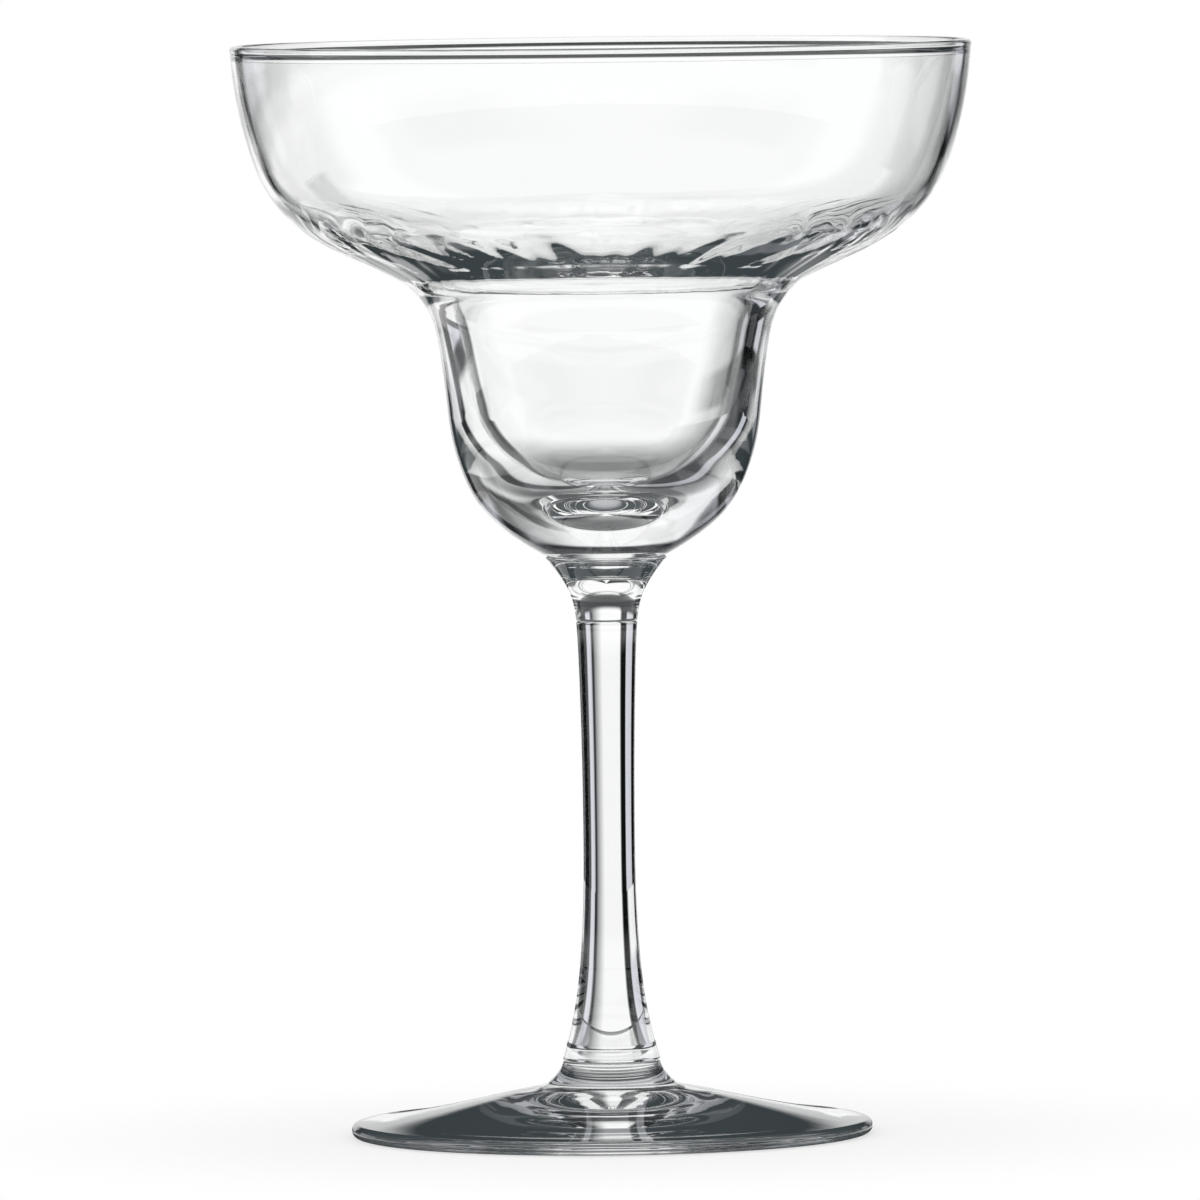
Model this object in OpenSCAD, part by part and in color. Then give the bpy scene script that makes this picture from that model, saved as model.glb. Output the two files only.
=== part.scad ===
// Margarita glass: a wide dish that steps down into a narrow cup, blown in one,
// with a flared button, a drawn stem and a hollow foot fused on below it.
// Millimetres, +Z up. The origin is the centre of the ring that the foot rests on.

/* [Overall] */
// Height from the table to the top of the rim
glass_h = 171; // [140:1:210]
// Outside diameter of the rim
rim_d = 116; // [94:0.5:140]
// Diameter of the foot
foot_d = 81.6; // [66:0.2:100]

/* [Bowl] */
// Height of the dish, from the throat of the cup up to the rim
dish_h = 36.6; // [30:0.2:46]
// Height of the cup, from its weld face up to the throat
cup_h = 43.7; // [36:0.1:53]
// Outside diameter at the throat, where the ledge turns down into the cup
throat_d = 64.4; // [58:0.2:72]
// Outside diameter of the cup below the throat
cup_d = 52.4; // [44:0.2:57]
// How far the dish has come in, on the radius, at its shoulder
shoulder_in = 3.7; // [2.5:0.1:5]
// How far the dish has come in, on the radius, where its side ends and the ledge starts
side_in = 7.2; // [5.5:0.1:9]
// Wall just below the rim
rim_wall = 1.2; // [1:0.1:1.6]
// How far the fire-polished rim bead stands out of the wall on each side
bead_out = 0.1; // [0.05:0.05:0.3]
// Wall of the dish at its shoulder and side
dish_wall = 1.6; // [1.2:0.1:2.2]
// Wall of the ledge
ledge_wall = 1.8; // [1.4:0.1:2.4]
// Glass at the throat, where the ledge rolls over into the cup
lip_wall = 3.4; // [2.7:0.1:4.2]
// Wall of the cup below the throat
cup_wall = 3.7; // [2.9:0.1:4.5]
// Wall of the cup at half its height
belly_wall = 4.3; // [3.4:0.1:5.2]
// Glass under the cup, from the weld face up to the floor of the cup
floor_wall = 8.4; // [6.8:0.1:10.2]

/* [Button] */
// Height of the button
button_h = 10.2; // [8:0.1:13]
// Diameter of the weld between the bowl and the button
button_d = 19; // [15:0.1:23]

/* [Stem] */
// Diameter of the stem at its weld with the button
stem_top_d = 9.6; // [8.8:0.1:11.6]
// Diameter of the stem at its narrowest
stem_waist_d = 8.1; // [6.6:0.1:8.6]
// Diameter of the stem at its weld with the foot
stem_end_d = 15.2; // [12.6:0.1:18.4]

/* [Foot] */
// Height of the foot with its boss
foot_h = 11.7; // [9.7:0.1:14.2]
// Height of the foot's upper face where the boss has run out into the disc
disc_h = 6.8; // [5.6:0.1:8.2]
// Thickness of the round edge of the foot
edge_t = 2.2; // [1.8:0.1:2.7]
// Width of the flat ring that the foot rests on
ring_w = 2.6; // [2:0.1:3.2]
// Depth of the hollow under the foot
hollow_h = 2.4; // [1.6:0.1:2.9]

/* [Welds] */
// Width of the fine chamfer that the fused edges leave at each weld
seam_w = 0.2; // [0.1:0.05:0.4]

/* [Hidden] */
glass_tint = [0.86, 0.9, 0.89, 0.45];

// Points in each stretch between two knots, and in each round edge
span_steps = 8;
arc_steps = 12;

// Heights of the weld faces and of the throat
stem_z = foot_h;
bowl_z = glass_h - dish_h - cup_h;
button_z = bowl_z - button_h;
throat_z = bowl_z + cup_h;
floor_z = bowl_z + floor_wall;

// Radii of the pieces
rim_r = rim_d / 2;
foot_r = foot_d / 2;
throat_r = throat_d / 2;
cup_r = cup_d / 2;
button_r = button_d / 2;
stem_top_r = stem_top_d / 2;
stem_waist_r = stem_waist_d / 2;
stem_end_r = stem_end_d / 2;

// The bead: the angle at which the wall runs into its round
bead_r = rim_wall / 2 + bead_out;
bead_angle = acos(rim_wall / 2 / bead_r);
bead_z = glass_h - bead_r;

// A knot of an outline is [radius, height, lean]: the lean is the angle from straight down
// towards the axis, so a negative lean runs outwards and one past 90 runs up again.

// Heights on the dish and on the cup, as shares of their own heights
shoulder_share = 0.49;
side_share = 0.315;
ledge_share = 0.19;
neck_share = 0.81;
belly_share = 0.5;
turn_share = 0.23;

// Radii on the ledge and on the cup, as shares of the sizes that they follow
ledge_r_share = 0.735;
belly_r_share = 0.93;
turn_r_share = 0.68;

ledge_r = throat_r + ledge_r_share * (rim_r - side_in - throat_r);
rim_knot = [rim_r - bead_out, bead_z - bead_r * sin(bead_angle), 4];
shoulder_knot = [rim_r - shoulder_in, throat_z + shoulder_share * dish_h, 20];
side_knot = [rim_r - side_in, throat_z + side_share * dish_h, 38];
ledge_knot = [ledge_r, throat_z + ledge_share * dish_h, 57];
throat_knot = [throat_r, throat_z, 61];
neck_knot = [cup_r, bowl_z + neck_share * cup_h, 12];
belly_knot = [belly_r_share * cup_r, bowl_z + belly_share * cup_h, 6];
turn_r = button_r + turn_r_share * (cup_r - button_r);
turn_knot = [turn_r, bowl_z + turn_share * cup_h, 28];
weld_knot = [button_r, bowl_z + seam_w, 61];

// The lip of the cup, as shares of the way from the inside below the throat up to the inside at the throat
lip_r_share = 0.39;
lip_share = 0.61;
throat_in = inside(throat_knot, lip_wall, 76);
neck_in = inside(neck_knot, cup_wall, 10);
lip_knot = [
    neck_in.x + lip_r_share * (throat_in.x - neck_in.x),
    neck_in.y + lip_share * (throat_in.y - neck_in.y),
    44];

// The corner of the cup's floor, as shares of the cup's inside radius and of the cup's height
corner_r_share = 0.742;
corner_h_share = 0.105;
belly_in = inside(belly_knot, belly_wall, 12);
corner_knot = [corner_r_share * belly_in.x, floor_z + corner_h_share * cup_h, 46];

bowl_outside = [rim_knot, shoulder_knot, side_knot, ledge_knot, throat_knot,
    neck_knot, belly_knot, turn_knot, weld_knot];
bowl_inside = [
    inside(rim_knot, rim_wall, rim_knot[2]),
    inside(shoulder_knot, dish_wall, shoulder_knot[2]),
    inside(side_knot, dish_wall, 40),
    inside(ledge_knot, ledge_wall, 58),
    throat_in,
    lip_knot,
    neck_in,
    belly_in,
    corner_knot,
    [0, floor_z, 90]];

// The button's waist, as shares of its height and of what it narrows by
button_waist_share = 0.49;
button_waist_r_share = 0.26;
button_waist_r = stem_top_r + button_waist_r_share * (button_r - stem_top_r);
button_side = [
    [button_r, bowl_z - seam_w, 41],
    [button_waist_r, button_z + button_waist_share * button_h, 27],
    [stem_top_r, button_z + seam_w, 6]];

// The stem's neck, waist, flare and skirt, as shares of its length and of what it widens by
stem_h = button_z - stem_z;
stem_neck_share = 0.92;
stem_waist_share = 0.5;
stem_flare_share = 0.223;
stem_skirt_share = 0.096;
stem_neck_r_share = 0.62;
stem_flare_r_share = 0.2;
stem_skirt_r_share = 0.55;
stem_neck_r = stem_waist_r + stem_neck_r_share * (stem_top_r - stem_waist_r);
stem_flare_r = stem_waist_r + stem_flare_r_share * (stem_end_r - stem_waist_r);
stem_skirt_r = stem_waist_r + stem_skirt_r_share * (stem_end_r - stem_waist_r);
stem_side = [
    [stem_top_r, button_z - seam_w, 4],
    [stem_neck_r, stem_z + stem_neck_share * stem_h, 2],
    [stem_waist_r, stem_z + stem_waist_share * stem_h, 0],
    [stem_flare_r, stem_z + stem_flare_share * stem_h, -5],
    [stem_skirt_r, stem_z + stem_skirt_share * stem_h, -12],
    [stem_end_r, stem_z + seam_w, -13]];

// The foot: boss, fillet and disc, the round edge, the flat ring and the hollow
edge_r = edge_t / 2;
boss_r_share = 0.054;
boss_h_share = 0.39;
fillet_r_share = 0.24;
boss_r = stem_end_r + boss_r_share * (foot_r - stem_end_r);
fillet_r = stem_end_r + fillet_r_share * (foot_r - stem_end_r);
edge_lean = -84;
ring_out_r = foot_r - edge_r;
ring_in_r = ring_out_r - ring_w;
foot_top = [
    [stem_end_r, foot_h - seam_w, -13],
    [boss_r, disc_h + boss_h_share * (foot_h - disc_h), -46],
    [fillet_r, disc_h, -77],
    [ring_out_r, edge_t, edge_lean]];
foot_under = [
    [ring_in_r, 0, 97],
    [0, hollow_h, 90]];

// Direction in which an outline with this lean runs
function heading(lean) = [-sin(lean), -cos(lean)];

// Knot that lies a wall's thickness inside another, with a lean of its own
function inside(knot, wall, lean) =
    [knot.x - wall * cos(knot[2]), knot.y + wall * sin(knot[2]), lean];

// Points of a smooth stretch from one knot up to, but not including, the next
function span(a, b) =
    let (p = [a.x, a.y], q = [b.x, b.y], pull = norm(q - p))
    [for (i = [0 : span_steps - 1])
        let (t = i / span_steps, s = 1 - t)
        s * s * (1 + 2 * t) * p + s * s * t * pull * heading(a[2])
        + t * t * (1 + 2 * s) * q - t * t * s * pull * heading(b[2])];

// Points of the smooth outline through all the knots
function outline(knots) =
    let (last = knots[len(knots) - 1])
    [for (i = [0 : len(knots) - 2]) each span(knots[i], knots[i + 1]), [last.x, last.y]];

// Points of a round edge about a centre, from one angle to another
function arc(centre, r, from, to) =
    [for (i = [0 : arc_steps])
        let (a = from + (to - from) * i / arc_steps)
        centre + r * [cos(a), sin(a)]];

function reversed(points) = [for (i = [len(points) - 1 : -1 : 0]) points[i]];

// The blown bowl: outside and inside of the dish and cup, joined over the rim bead
module bowl() {
    bead = arc([rim_r - bead_r, bead_z], bead_r, 180 + bead_angle, -bead_angle);
    color(glass_tint)
        rotate_extrude()
            polygon(concat(
                outline(bowl_outside),
                [[button_r - seam_w, bowl_z], [0, bowl_z]],
                reversed(outline(bowl_inside)),
                [for (i = [1 : arc_steps - 1]) bead[i]]));
}

// A solid turned piece between two flat weld faces, chamfered where it meets them
module welded_rod(side, top_z, end_z) {
    first = side[0];
    last = side[len(side) - 1];
    color(glass_tint)
        rotate_extrude()
            polygon(concat(
                [[0, top_z], [first.x - seam_w, top_z]],
                outline(side),
                [[last.x - seam_w, end_z], [0, end_z]]));
}

module button() {
    welded_rod(button_side, bowl_z, button_z);
}

module stem() {
    welded_rod(stem_side, button_z, stem_z);
}

// The pressed foot: weld face on the boss, disc, round edge, resting ring and hollow
module foot() {
    edge = arc([ring_out_r, edge_r], edge_r, 90, -90);
    color(glass_tint)
        rotate_extrude()
            polygon(concat(
                [[0, foot_h], [stem_end_r - seam_w, foot_h]],
                outline(foot_top),
                [for (i = [1 : arc_steps]) edge[i]],
                outline(foot_under)));
}

bowl();
button();
stem();
foot();
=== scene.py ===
import math

import bpy
from mathutils import Matrix, Vector


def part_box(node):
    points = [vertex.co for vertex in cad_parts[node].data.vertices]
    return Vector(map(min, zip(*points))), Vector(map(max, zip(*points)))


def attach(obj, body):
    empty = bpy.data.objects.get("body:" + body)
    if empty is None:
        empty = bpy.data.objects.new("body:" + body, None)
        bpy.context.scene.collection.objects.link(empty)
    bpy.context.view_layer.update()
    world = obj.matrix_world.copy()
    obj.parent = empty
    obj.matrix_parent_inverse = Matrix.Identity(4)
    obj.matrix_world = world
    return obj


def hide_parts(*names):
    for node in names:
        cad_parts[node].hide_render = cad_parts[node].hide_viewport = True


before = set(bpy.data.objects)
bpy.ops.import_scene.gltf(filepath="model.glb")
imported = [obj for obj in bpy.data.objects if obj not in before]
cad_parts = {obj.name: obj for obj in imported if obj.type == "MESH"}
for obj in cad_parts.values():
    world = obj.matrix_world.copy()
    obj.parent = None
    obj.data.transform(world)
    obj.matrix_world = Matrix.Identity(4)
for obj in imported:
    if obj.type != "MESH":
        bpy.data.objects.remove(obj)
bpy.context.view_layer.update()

# The blown bowl
# One gather of clear soda-lime glass blown in a mould: dish, ledge and cup share one wall, thin at the rim
# and thick under the cup. The cut rim is melted to a fine bead, and the underside is fused to the button.
bowl_low, bowl_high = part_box("bowl")
button_low, button_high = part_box("button")
glass_h = bowl_high.z
bowl_z = bowl_low.z
rim_r = (bowl_high.x - bowl_low.x) / 2
button_r = (button_high.x - button_low.x) / 2
cup_h = 0.0437
dish_h = glass_h - bowl_z - cup_h
throat_z = bowl_z + cup_h
throat_r = 0.0322
cup_r = 0.0262
shoulder_in = 0.0037
side_in = 0.0072
rim_wall = 0.0012
bead_out = 0.0001
dish_wall = 0.0016
ledge_wall = 0.0018
lip_wall = 0.0034
cup_wall = 0.0037
belly_wall = 0.0043
floor_wall = 0.0084
seam_w = 0.0002
shoulder_share = 0.49
side_share = 0.315
ledge_share = 0.19
neck_share = 0.81
belly_share = 0.5
turn_share = 0.23
ledge_r_share = 0.735
belly_r_share = 0.93
turn_r_share = 0.68
lip_r_share = 0.39
lip_share = 0.61
corner_r_share = 0.742
corner_h_share = 0.105
hair = 1e-7
span_steps = 14
arc_steps = 16
bowl_sides = 384
rod_sides = 192


def heading(lean):
    """Direction in which an outline runs whose lean is measured from straight down, towards the axis."""
    return Vector((-math.sin(math.radians(lean)), -math.cos(math.radians(lean))))


def outline(knots, steps):
    """Points of the smooth curve through knots of (radius, height, lean)."""
    points = []
    for (ra, za, lean_a), (rb, zb, lean_b) in zip(knots, knots[1:]):
        p, q = Vector((ra, za)), Vector((rb, zb))
        pull = (q - p).length
        for i in range(steps):
            t = i / steps
            s = 1 - t
            points.append(s * s * (1 + 2 * t) * p + s * s * t * pull * heading(lean_a)
                          + t * t * (1 + 2 * s) * q - t * t * s * pull * heading(lean_b))
    return points + [Vector(knots[-1][:2])]


def inside(knot, wall, lean):
    """Knot that lies a wall's thickness inside another, with a lean of its own."""
    turn = math.radians(knot[2])
    return knot[0] - wall * math.cos(turn), knot[1] + wall * math.sin(turn), lean


def arc(centre, radius, first, last):
    """Points of a round edge about a centre, from one angle in degrees to another."""
    angles = [math.radians(first + (last - first) * i / arc_steps) for i in range(arc_steps + 1)]
    return [Vector(centre) + radius * Vector((math.cos(a), math.sin(a))) for a in angles]


# Waves that blowing leaves round a wall: share of the height, number in a turn and start of each
blown_waves = ((0.35, 7, 0.7), (0.3, 11, 2.1), (0.2, 17, 4.0), (0.15, 29, 1.3))
# A ring of a wall without them: height, swirl, times and rest, as in the functions below
smooth_ring = (0.0, 0.0, 1, 1.0)


def ripples(turn, swirl, times, rest):
    """Height, from -1 to 1, of the blown waves set closer by a number of times. They lean alike on the left
    and the right of the glass, and away from these two seams of the mould they sink to the share rest."""
    bent = times * turn - times * swirl * math.cos(turn)
    height = sum(share * math.sin(count * bent + start) for share, count, start in blown_waves)
    return (rest + (1 - rest) * math.cos(turn) ** 2) * height


def rippled(middle, half, height, lean, times, rest):
    """Ripples for the points of a profile about a middle one. They rise from 0 and sink again on the way."""
    return {i: (height * (1 - ((i - middle) / half) ** 2) ** 2, lean * (i - middle), times, rest)
            for i in range(middle - half, middle + half + 1)}


def turned(name, profile, welds, materials, uneven=None, sides=rod_sides):
    """A closed mesh turned about the axis from a profile. Faces that lie flat at a weld's height get the
    second material, and a point with an entry in uneven goes up and down round its ring."""
    verts, rings = [], []
    for i, (r, z) in enumerate(profile):
        count = 1 if r < hair else sides
        rings.append(range(len(verts), len(verts) + count))
        height, *form = (uneven or {}).get(i, smooth_ring)
        for k in range(count):
            turn = 2 * math.pi * k / sides
            verts.append((r * math.cos(turn), r * math.sin(turn), z + height * ripples(turn, *form)))
    faces, fused = [], []
    for (a, b), (p, q) in zip(zip(rings, rings[1:]), zip(profile, profile[1:])):
        flat = any(abs(p.y - z) < hair and abs(q.y - z) < hair for z in welds)
        for k in range(sides):
            n = (k + 1) % sides
            corners = [a[k % len(a)], b[k % len(b)], b[n % len(b)], a[n % len(a)]]
            faces.append(list(dict.fromkeys(corners)))
            fused.append(flat)
    mesh = bpy.data.meshes.new(name)
    mesh.from_pydata(verts, [], faces)
    mesh.polygons.foreach_set("use_smooth", [not f for f in fused])
    mesh.polygons.foreach_set("material_index", [int(f) for f in fused])
    for m in materials:
        mesh.materials.append(m)
    mesh.validate()
    mesh.update()
    piece = bpy.data.objects.new(name, mesh)
    bpy.context.scene.collection.objects.link(piece)
    return piece


class Wire:
    """One output socket of a node tree: arithmetic on it adds Math nodes, and node() adds any other node."""

    def __init__(self, tree, socket=None):
        self.tree = tree
        self.socket = socket

    def node(self, kind, settings=None, sockets=None, out=0):
        made = self.tree.nodes.new(kind)
        for key, value in (settings or {}).items():
            if key == "stops":
                elements = made.color_ramp.elements
                while len(elements) < len(value):
                    elements.new(1.0)
                for element, (place, colour) in zip(elements, value):
                    element.position = place
                    element.color = colour
            else:
                setattr(made, key, value)
        for key, value in (sockets or {}).items():
            if isinstance(value, Wire):
                self.tree.links.new(value.socket, made.inputs[key])
            else:
                made.inputs[key].default_value = value
        return Wire(self.tree, made.outputs[out] if made.outputs else None)

    def output(self, name):
        return Wire(self.tree, self.socket.node.outputs[name])

    def math(self, operation, first, second=0.0):
        return self.node("ShaderNodeMath", {"operation": operation}, {0: first, 1: second})

    def __add__(self, other):
        return self.math("ADD", self, other)

    def __sub__(self, other):
        return self.math("SUBTRACT", self, other)

    def __mul__(self, other):
        return self.math("MULTIPLY", self, other)

    def __truediv__(self, other):
        return self.math("DIVIDE", self, other)

    def __radd__(self, other):
        return self.math("ADD", other, self)

    def __rsub__(self, other):
        return self.math("SUBTRACT", other, self)

    def __rmul__(self, other):
        return self.math("MULTIPLY", other, self)

    def __rtruediv__(self, other):
        return self.math("DIVIDE", other, self)


def finish_named(name):
    """A new material with an empty node tree, and a wire to build it on."""
    material = bpy.data.materials.new(name)
    material.use_nodes = True
    material.node_tree.nodes.clear()
    return material, Wire(material.node_tree)


def blend(share, first, second):
    """Two colours mixed by the share of the second."""
    return share.node("ShaderNodeMix", {"data_type": "RGBA"}, {0: share, 6: first, 7: second}, out=2)


# Clear glass: cords, which are streaks of slightly other glass, tint it faintly green and wave its surface
CORD_GREEN = (0.986, 1.0, 0.993, 1)
CLEAR = (1, 1, 1, 1)
cord_scale = 70.0
cord_detail = 2.0
cord_h = 0.0002
cord_strength = 0.2
glass_ior = 1.52
clear_glass, wire = finish_named("clear_glass")
cord = wire.node("ShaderNodeTexNoise", {}, {
    "Vector": wire.node("ShaderNodeTexCoord", out="Object"), "Scale": cord_scale, "Detail": cord_detail})
waviness = wire.node("ShaderNodeBump", {}, {"Strength": cord_strength, "Distance": cord_h, "Height": cord})
shader = wire.node("ShaderNodeBsdfPrincipled", {}, {
    "Base Color": blend(cord, CORD_GREEN, CLEAR), "Roughness": 0.0, "IOR": glass_ior,
    "Transmission Weight": 1.0, "Normal": waviness})
wire.node("ShaderNodeOutputMaterial", {}, {"Surface": shader})

# Fused faces are one glass with their neighbours, so light goes straight through them
fused_weld, wire = finish_named("fused_weld")
wire.node("ShaderNodeOutputMaterial", {}, {"Surface": wire.node("ShaderNodeBsdfTransparent")})

bead_r = rim_wall / 2 + bead_out
bead_angle = math.acos(rim_wall / 2 / bead_r)
bead_z = glass_h - bead_r
ledge_r = throat_r + ledge_r_share * (rim_r - side_in - throat_r)
turn_r = button_r + turn_r_share * (cup_r - button_r)
rim_knot = (rim_r - bead_out, bead_z - bead_r * math.sin(bead_angle), 4)
shoulder_knot = (rim_r - shoulder_in, throat_z + shoulder_share * dish_h, 20)
side_knot = (rim_r - side_in, throat_z + side_share * dish_h, 38)
ledge_knot = (ledge_r, throat_z + ledge_share * dish_h, 57)
throat_knot = (throat_r, throat_z, 61)
neck_knot = (cup_r, bowl_z + neck_share * cup_h, 12)
belly_knot = (belly_r_share * cup_r, bowl_z + belly_share * cup_h, 6)
turn_knot = (turn_r, bowl_z + turn_share * cup_h, 28)
weld_knot = (button_r, bowl_z + seam_w, 61)
bowl_outside = [
    rim_knot, shoulder_knot, side_knot, ledge_knot, throat_knot, neck_knot, belly_knot, turn_knot, weld_knot]

floor_z = bowl_z + floor_wall
throat_in = inside(throat_knot, lip_wall, 76)
neck_in = inside(neck_knot, cup_wall, 10)
belly_in = inside(belly_knot, belly_wall, 12)
lip_r = neck_in[0] + lip_r_share * (throat_in[0] - neck_in[0])
lip_z = neck_in[1] + lip_share * (throat_in[1] - neck_in[1])
corner_knot = (corner_r_share * belly_in[0], floor_z + corner_h_share * cup_h, 46)
bowl_inside = [
    inside(rim_knot, rim_wall, 4), inside(shoulder_knot, dish_wall, 20), inside(side_knot, dish_wall, 40),
    inside(ledge_knot, ledge_wall, 58), throat_in, (lip_r, lip_z, 44), neck_in, belly_in, corner_knot,
    (0.0, floor_z, 90)]

# The profile runs from the middle of the cup's floor up the inside, over the bead and down the outside
bead_turn = math.degrees(bead_angle)
bead = arc((rim_r - bead_r, bead_z), bead_r, 180 + bead_turn, -bead_turn)
bowl_profile = (outline(bowl_inside, span_steps)[::-1] + bead[1:-1] + outline(bowl_outside, span_steps)
                + [Vector((button_r - seam_w, bowl_z)), Vector((0.0, bowl_z))])
ripple_h = 0.0003
inner_ripples = rippled(middle=77, half=9, height=ripple_h, lean=0.03, times=2, rest=1.0)
outer_ripples = rippled(middle=188, half=17, height=ripple_h, lean=0.01, times=3, rest=0.2)
blown_bowl = turned("blown_bowl", bowl_profile, [bowl_z], [clear_glass, fused_weld],
                    inner_ripples | outer_ripples, bowl_sides)
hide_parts("bowl")
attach(blown_bowl, "root")

# The stuck button
# A small gather dropped on the underside of the bowl and tooled to a flared collar. It is solid, and both
# its ends are fused flat to their neighbours, which leaves a fine ring at each weld.
stem_low, stem_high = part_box("stem")
button_z = button_low.z
button_h = bowl_z - button_z
stem_top_r = 0.0048
button_waist_share = 0.49
button_waist_r_share = 0.26
button_waist_r = stem_top_r + button_waist_r_share * (button_r - stem_top_r)


def welded_rod(name, side, top_z, end_z):
    """A solid turned piece between two flat welds."""
    profile = ([Vector((0.0, top_z)), Vector((side[0][0] - seam_w, top_z))] + outline(side, span_steps)
               + [Vector((side[-1][0] - seam_w, end_z)), Vector((0.0, end_z))])
    return turned(name, profile, [top_z, end_z], [clear_glass, fused_weld])


stuck_button = welded_rod("stuck_button", [
    (button_r, bowl_z - seam_w, 41),
    (button_waist_r, button_z + button_waist_share * button_h, 27),
    (stem_top_r, button_z + seam_w, 6)], bowl_z, button_z)
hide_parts("button")
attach(stuck_button, "root")

# The drawn stem
# A solid rod pulled from the hot button: narrow in the middle, and let run out into a wider skirt where the
# foot is stuck on.
stem_z = stem_low.z
stem_h = stem_high.z - stem_z
stem_end_r = (stem_high.x - stem_low.x) / 2
stem_waist_r = 0.00405
neck_narrow = stem_top_r - stem_waist_r
end_widen = stem_end_r - stem_waist_r
stem_neck_share = 0.92
stem_waist_share = 0.5
stem_flare_share = 0.223
stem_skirt_share = 0.096
stem_neck_r_share = 0.62
stem_flare_r_share = 0.2
stem_skirt_r_share = 0.55
drawn_stem = welded_rod("drawn_stem", [
    (stem_top_r, button_z - seam_w, 4),
    (stem_waist_r + stem_neck_r_share * neck_narrow, stem_z + stem_neck_share * stem_h, 2),
    (stem_waist_r, stem_z + stem_waist_share * stem_h, 0),
    (stem_waist_r + stem_flare_r_share * end_widen, stem_z + stem_flare_share * stem_h, -5),
    (stem_waist_r + stem_skirt_r_share * end_widen, stem_z + stem_skirt_share * stem_h, -12),
    (stem_end_r, stem_z + seam_w, -13)], button_z, stem_z)
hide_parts("stem")
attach(drawn_stem, "root")

# The pressed foot
# A disc pressed from the last gather, with a boss that takes the stem. It thins towards a round edge, and
# its underside is hollow, so that it stands on a narrow flat ring.
foot_low, foot_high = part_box("foot")
foot_h = foot_high.z
foot_r = (foot_high.x - foot_low.x) / 2
disc_h = 0.0068
edge_r = 0.0011
ring_w = 0.0026
hollow_h = 0.0024
boss_r_share = 0.054
boss_h_share = 0.39
fillet_r_share = 0.24
disc_steps = 28
hollow_steps = 20
ring_out_r = foot_r - edge_r
disc_w = foot_r - stem_end_r
foot_top = [
    (stem_end_r, foot_h - seam_w, -13),
    (stem_end_r + boss_r_share * disc_w, disc_h + boss_h_share * (foot_h - disc_h), -46),
    (stem_end_r + fillet_r_share * disc_w, disc_h, -77),
    (ring_out_r, 2 * edge_r, -84)]
foot_under = [(ring_out_r - ring_w, 0.0, 97), (0.0, hollow_h, 90)]
foot_edge = arc((ring_out_r, edge_r), edge_r, 90, -90)
foot_profile = ([Vector((0.0, foot_h)), Vector((stem_end_r - seam_w, foot_h))]
                + outline(foot_top, disc_steps) + foot_edge[1:] + outline(foot_under, hollow_steps))
pressed_foot = turned("pressed_foot", foot_profile, [foot_h], [clear_glass, fused_weld])
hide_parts("foot")
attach(pressed_foot, "root")

# The table
# A plain pale table top, white to the camera but for the glass's shadow. Only rays in the glass see the
# cards on it, a dark patch of painted shade near the glass, painted shade under the foot and a dark ring
# round that, which is a painted shadow of the foot's edge.
table_r = 0.37
table_gap = 0.0001
table_sides = 96
table_rim = [2 * math.pi * k / table_sides for k in range(table_sides)]
table_mesh = bpy.data.meshes.new("table")
table_mesh.from_pydata([(table_r * math.cos(a), table_r * math.sin(a), -table_gap) for a in table_rim], [],
                       [list(range(table_sides))])
table = bpy.data.objects.new("table", table_mesh)
bpy.context.scene.collection.objects.link(table)
INK = (0.004, 0.005, 0.005, 1)
SLATE = (0.03, 0.034, 0.037, 1)
SMOKE = (0.25, 0.26, 0.26, 1)
LILAC = (0.7, 0.71, 0.77, 1)
# Greys of painted shade under the foot: mid for rays that met many surfaces, pale for rays that met few
MID_SHADE = (0.5, 0.51, 0.53, 1)
PALE_SHADE = (0.88, 0.89, 0.89, 1)
CHALK = (0.9, 0.9, 0.9, 1)
WHITE = (1, 1, 1, 1)
# Dark grey of painted shade for rays that met very many surfaces
DEEP_SHADE = (0.05, 0.062, 0.067, 1)
shadow_r = 0.12
shadow_core_r = 0.03
shadow_share = 0.5
ring_r = 0.0395
ring_dim_w = 0.004
ring_soft = 0.001
# A dark patch of painted shade on the table near the glass: its middle, squeeze, reach, core and share
shade_patch_at = (0.0, 0.13, 0.0)
shade_patch_squeeze = (2.0, 1.0, 1.0)
shade_patch_r = 0.2
shade_patch_core_r = 0.02
shade_patch_share = 0.9
stem_view = (0.17, 0.13)
front_edge = (-0.06, -0.1)
table_cards = [
    (-180, WHITE), (-74, WHITE), (-72, INK), (-57, INK), (-56, WHITE), (-34, WHITE), (-30, INK), (-20, INK),
    (-18.5, WHITE), (7, WHITE), (19, SMOKE), (20, SLATE), (24, SLATE), (25, LILAC), (33, LILAC), (35, SLATE),
    (60, SLATE), (66, WHITE)]
stem_cards = [
    (-180, WHITE), (-76, WHITE), (-74, INK), (-50, INK), (-49, LILAC), (-31, LILAC), (-29.5, INK),
    (-20, INK), (-18.5, WHITE), (7, WHITE), (19, SMOKE), (20, SLATE), (23.5, SLATE), (24.5, LILAC),
    (33, LILAC), (34, SLATE), (42, INK), (104, INK), (112, WHITE)]

# How many surfaces a ray has met: few or many on its way to the table, and so many that it sees painted
# shade
few_met = (3.6, 3.4)
many_met = (5.4, 5.6)
deep_shade_met = (7, 11)


def by_bearing(axes, cards):
    """Colour of the cards that stand round the glass, by bearing in degrees from straight behind it."""
    bearing = axes.math("ARCTAN2", axes.output("X"), axes.output("Y")) / (2 * math.pi) + 0.5
    return axes.node("ShaderNodeValToRGB", {"stops": [(0.5 + a / 360, c) for a, c in cards]}, {0: bearing})


def fade(value, first, last):
    """A soft step from 0 to 1 while a value goes from first to last."""
    return value.node("ShaderNodeMapRange", {"interpolation_type": "SMOOTHSTEP"}, {
        "Value": value, "From Min": first, "From Max": last})


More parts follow.
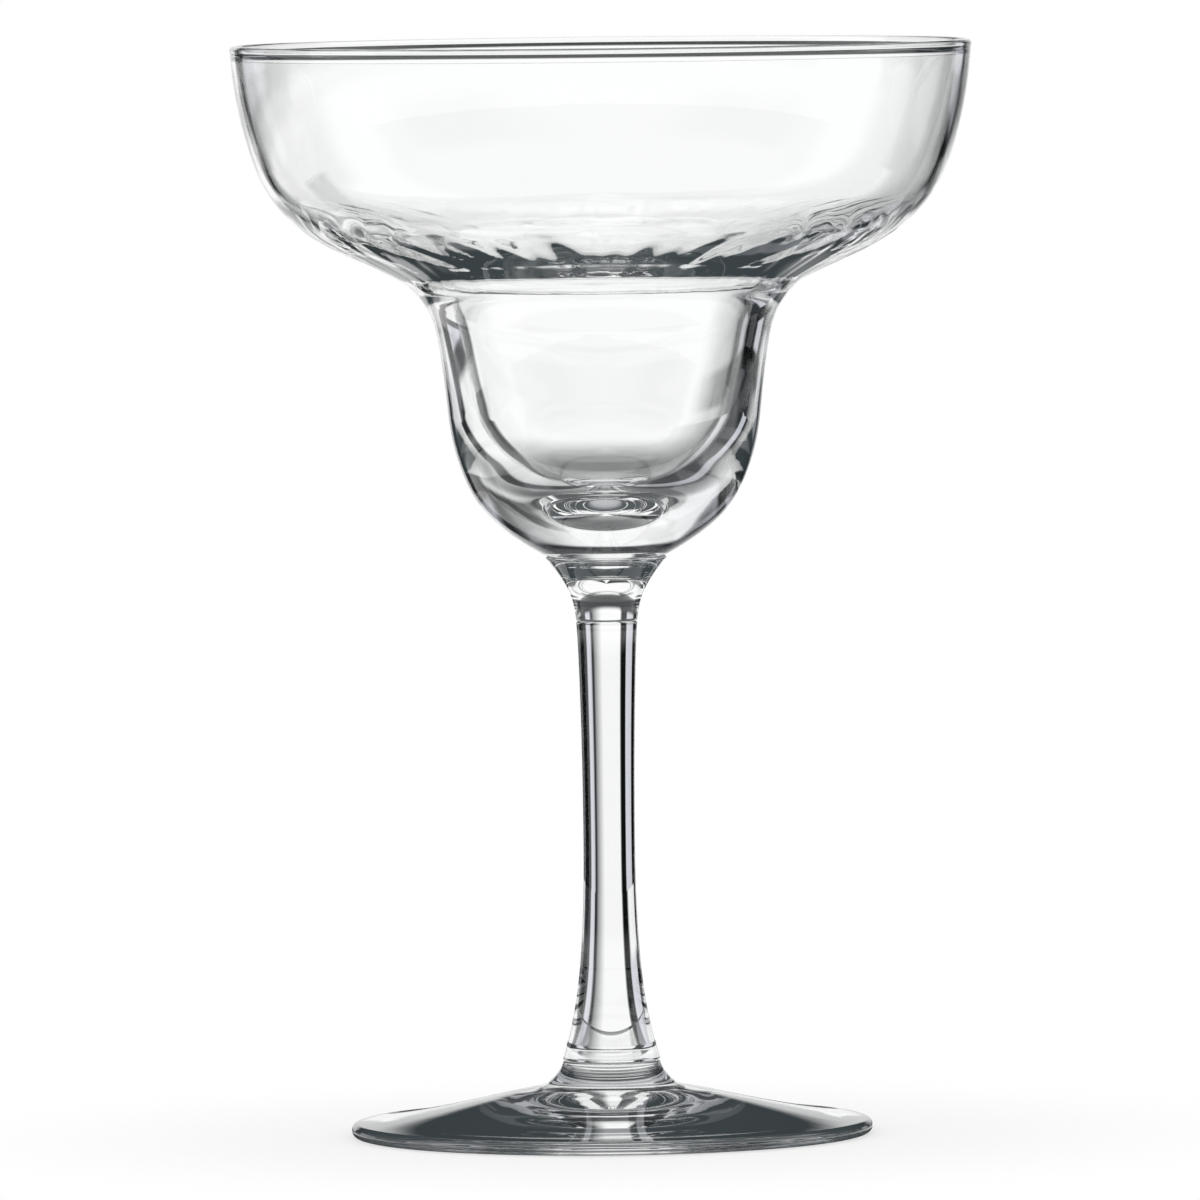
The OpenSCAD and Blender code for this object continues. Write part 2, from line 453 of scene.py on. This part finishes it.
def just(value, number):
    """1 where a value is just a whole number, and 0 elsewhere."""
    return value.node("ShaderNodeMath", {"operation": "COMPARE"}, {0: value, 1: number, 2: 0.5})


def in_glass(path):
    """1 for a ray that the glass mirrors or lets through, and 0 for any other."""
    return path.math("MAXIMUM", path.output("Is Glossy Ray"), path.output("Is Transmission Ray"))


table_top, wire = finish_named("table_top")
path = wire.node("ShaderNodeLightPath")
met = path.output("Ray Depth")
place = wire.node("ShaderNodeTexCoord", out="Object")
axes = wire.node("ShaderNodeSeparateXYZ", {}, {0: place})
reach = wire.node("ShaderNodeVectorMath", {"operation": "LENGTH"}, {0: place}, out="Value")
squeezed = wire.node("ShaderNodeVectorMath", {"operation": "MULTIPLY"}, {0: place, 1: shade_patch_squeeze})
off_shade_patch = wire.node("ShaderNodeVectorMath", {"operation": "DISTANCE"}, {
    0: squeezed, 1: shade_patch_at}, out="Value")
in_stem = just(met, 2.0)
# The patch under the foot, where the table is painted in shade
under = fade(reach, ring_r, ring_r - ring_soft)
# A dark ring round the foot's edge: a painted shadow of the foot on the table
ring = (fade(reach, ring_r - ring_soft, ring_r)
        * fade(reach, ring_r + ring_dim_w, ring_r + ring_dim_w - ring_soft))
# Painted shade: the dark patch near the glass, kept off the patch under the foot and away from the stem's
# rays
shade_patch = shade_patch_share * fade(off_shade_patch, shade_patch_r, shade_patch_core_r) * (1 - in_stem) * (1 - under)
near = wire.math("MAXIMUM", in_stem * fade(reach, *stem_view), under)
cards = blend(near, by_bearing(axes, table_cards), by_bearing(axes, stem_cards))
# The dark patch and the ring round the foot are painted slate: painted shade and a painted shadow
cards = blend(wire.math("MAXIMUM", shade_patch, ring), cards, SLATE)
# Under the foot: pale painted shade for rays that met few surfaces, mid grey painted shade for rays that met
# many
cards = blend(under * fade(met, *few_met), cards, PALE_SHADE)
cards = blend(under * fade(met, *many_met), cards, MID_SHADE)
cards = blend(just(met, 3.0) * fade(axes.output("Y"), *front_edge), cards, INK)
# Rays that met very many surfaces see dark grey: painted shade for light lost inside the glass
cards = blend(fade(met, *deep_shade_met), cards, DEEP_SHADE)
bare = path.output("Is Camera Ray") * (1 - shadow_share * fade(reach, shadow_r, shadow_core_r))
lit = wire.node("ShaderNodeBsdfDiffuse", {}, {"Color": CHALK})
white = wire.node("ShaderNodeEmission", {}, {"Color": WHITE, "Strength": 1.0})
plain = wire.node("ShaderNodeMixShader", {}, {0: bare, 1: lit, 2: white})
seen = wire.node("ShaderNodeEmission", {}, {"Color": cards, "Strength": 1.0})
shader = wire.node("ShaderNodeMixShader", {}, {0: in_glass(path), 1: plain, 2: seen})
wire.node("ShaderNodeOutputMaterial", {}, {"Surface": shader})
table_mesh.materials.append(table_top)

# The light tent
# A white tent of soft light with dark cards and lilac strips hung round the glass, which draw its edges,
# and a dark flag high behind it. Only rays in the glass see these: to the camera and the table all is white.
DUSK = (0.12, 0.125, 0.13, 1)
wall_cards = [
    (-180, INK), (-106, INK), (-104, WHITE), (-77, WHITE), (-75, INK), (-50, INK), (-49, LILAC),
    (-31, LILAC), (-29.5, INK), (-20, INK), (-18.5, WHITE), (7, WHITE), (19, SMOKE), (20, SLATE),
    (23.5, SLATE), (24.5, LILAC), (33, LILAC), (34, SLATE), (42, INK)]
low_cards = [
    (-180, WHITE), (-66, WHITE), (-60, DUSK), (-30, DUSK), (-29, INK), (-20, INK), (-18.5, WHITE),
    (7, WHITE), (13, SMOKE), (18, INK), (60, INK), (66, WHITE)]
skirt_cards = [
    (-180, WHITE), (-32, WHITE), (-29, SLATE), (-20, SLATE), (-18, WHITE), (7, WHITE), (20, SMOKE),
    (24, SLATE), (60, SLATE), (66, WHITE)]
upper_cards = [
    (-180, WHITE), (-75, WHITE), (-65, SLATE), (-20, SLATE), (-16, WHITE), (6, WHITE), (18, SMOKE),
    (24, SLATE), (44, SLATE), (50, WHITE)]

# Soft edges of the bands and the flags, each by how far a ray's direction points up or back
low_edge = (-0.115, -0.145)
skirt_edge = (-0.2, -0.24)
upper_edge = (0.13, 0.19)
flag_foot = (0.15, 0.23)
flag_head = (0.64, 0.5)
flag_front = (0.2, 0.45)
corner_foot = (0.22, 0.4)
corner_head = (0.62, 0.5)
corner_back = (-0.15, -0.4)
corner_front = (-0.9, -0.65)
open_front = (-0.3, -0.5)
hood_back = (-0.2, -0.5)
hood_foot = (0.0, 0.05)
one_met = (2.6, 2.4)
tent = bpy.data.worlds.new("light_tent")
bpy.context.scene.world = tent
tent.use_nodes = True
tent.node_tree.nodes.clear()
wire = Wire(tent.node_tree)
path = wire.node("ShaderNodeLightPath")
met = path.output("Ray Depth")
aim = wire.node("ShaderNodeSeparateXYZ", {}, {0: wire.node("ShaderNodeTexCoord", out="Generated")})
back = aim.output("Y")
up = aim.output("Z")
cards = blend(fade(up, *low_edge), by_bearing(aim, wall_cards), by_bearing(aim, low_cards))
cards = blend(fade(up, *skirt_edge), cards, by_bearing(aim, skirt_cards))
cards = blend(fade(up, *upper_edge), cards, by_bearing(aim, upper_cards))
cards = blend(fade(up, *flag_foot) * fade(up, *flag_head) * fade(back, *flag_front), cards, SLATE)
corner = (fade(up, *corner_foot) * fade(up, *corner_head)
          * fade(back, *corner_back) * fade(back, *corner_front))
cards = blend(corner * just(met, 6.0), cards, INK)
cards = blend(just(met, 5.0) * fade(back, *open_front), cards, WHITE)
cards = blend(fade(met, *one_met) * fade(back, *hood_back) * fade(up, *hood_foot), cards, INK)
# Rays that met very many surfaces see dark grey here too: painted shade for light lost inside the glass
cards = blend(fade(met, *deep_shade_met), cards, DEEP_SHADE)
wire.node("ShaderNodeOutputWorld", {}, {"Surface": wire.node("ShaderNodeBackground", {}, {
    "Color": blend(in_glass(path), WHITE, cards), "Strength": 1.0})})

# The camera
# A long lens a little above the glass, turned by the photograph's slight tilt. Rays may meet many surfaces,
# because each wall of the glass has two and light runs to and fro inside the solid stem and foot.
frame_px = 1200
mm_per_px = 0.15624
off_middle_px = 6.5
sensor_w = 36.0
camera_d = 2.5
camera_z = 0.211
aim_z = 0.0838
tilt = math.radians(0.64)
glass_bounces = 96
weld_bounces = 32
aim_at = Vector((-off_middle_px * mm_per_px / 1000, 0.0, aim_z))
eye = Vector((aim_at.x, -camera_d, camera_z))
turn = (aim_at - eye).to_track_quat("-Z", "Y").to_matrix() @ Matrix.Rotation(-tilt, 3, "Z")
lens = bpy.data.cameras.new("camera")
lens.sensor_width = sensor_w
lens.lens = sensor_w * camera_d / (frame_px * mm_per_px / 1000)
camera = bpy.data.objects.new("camera", lens)
camera.matrix_world = Matrix.Translation(eye) @ turn.to_4x4()
bpy.context.scene.collection.objects.link(camera)
bpy.context.scene.camera = camera
bpy.context.scene.view_settings.view_transform = "Standard"
bpy.context.scene.cycles.max_bounces = glass_bounces
bpy.context.scene.cycles.transmission_bounces = glass_bounces
bpy.context.scene.cycles.glossy_bounces = glass_bounces
bpy.context.scene.cycles.transparent_max_bounces = weld_bounces
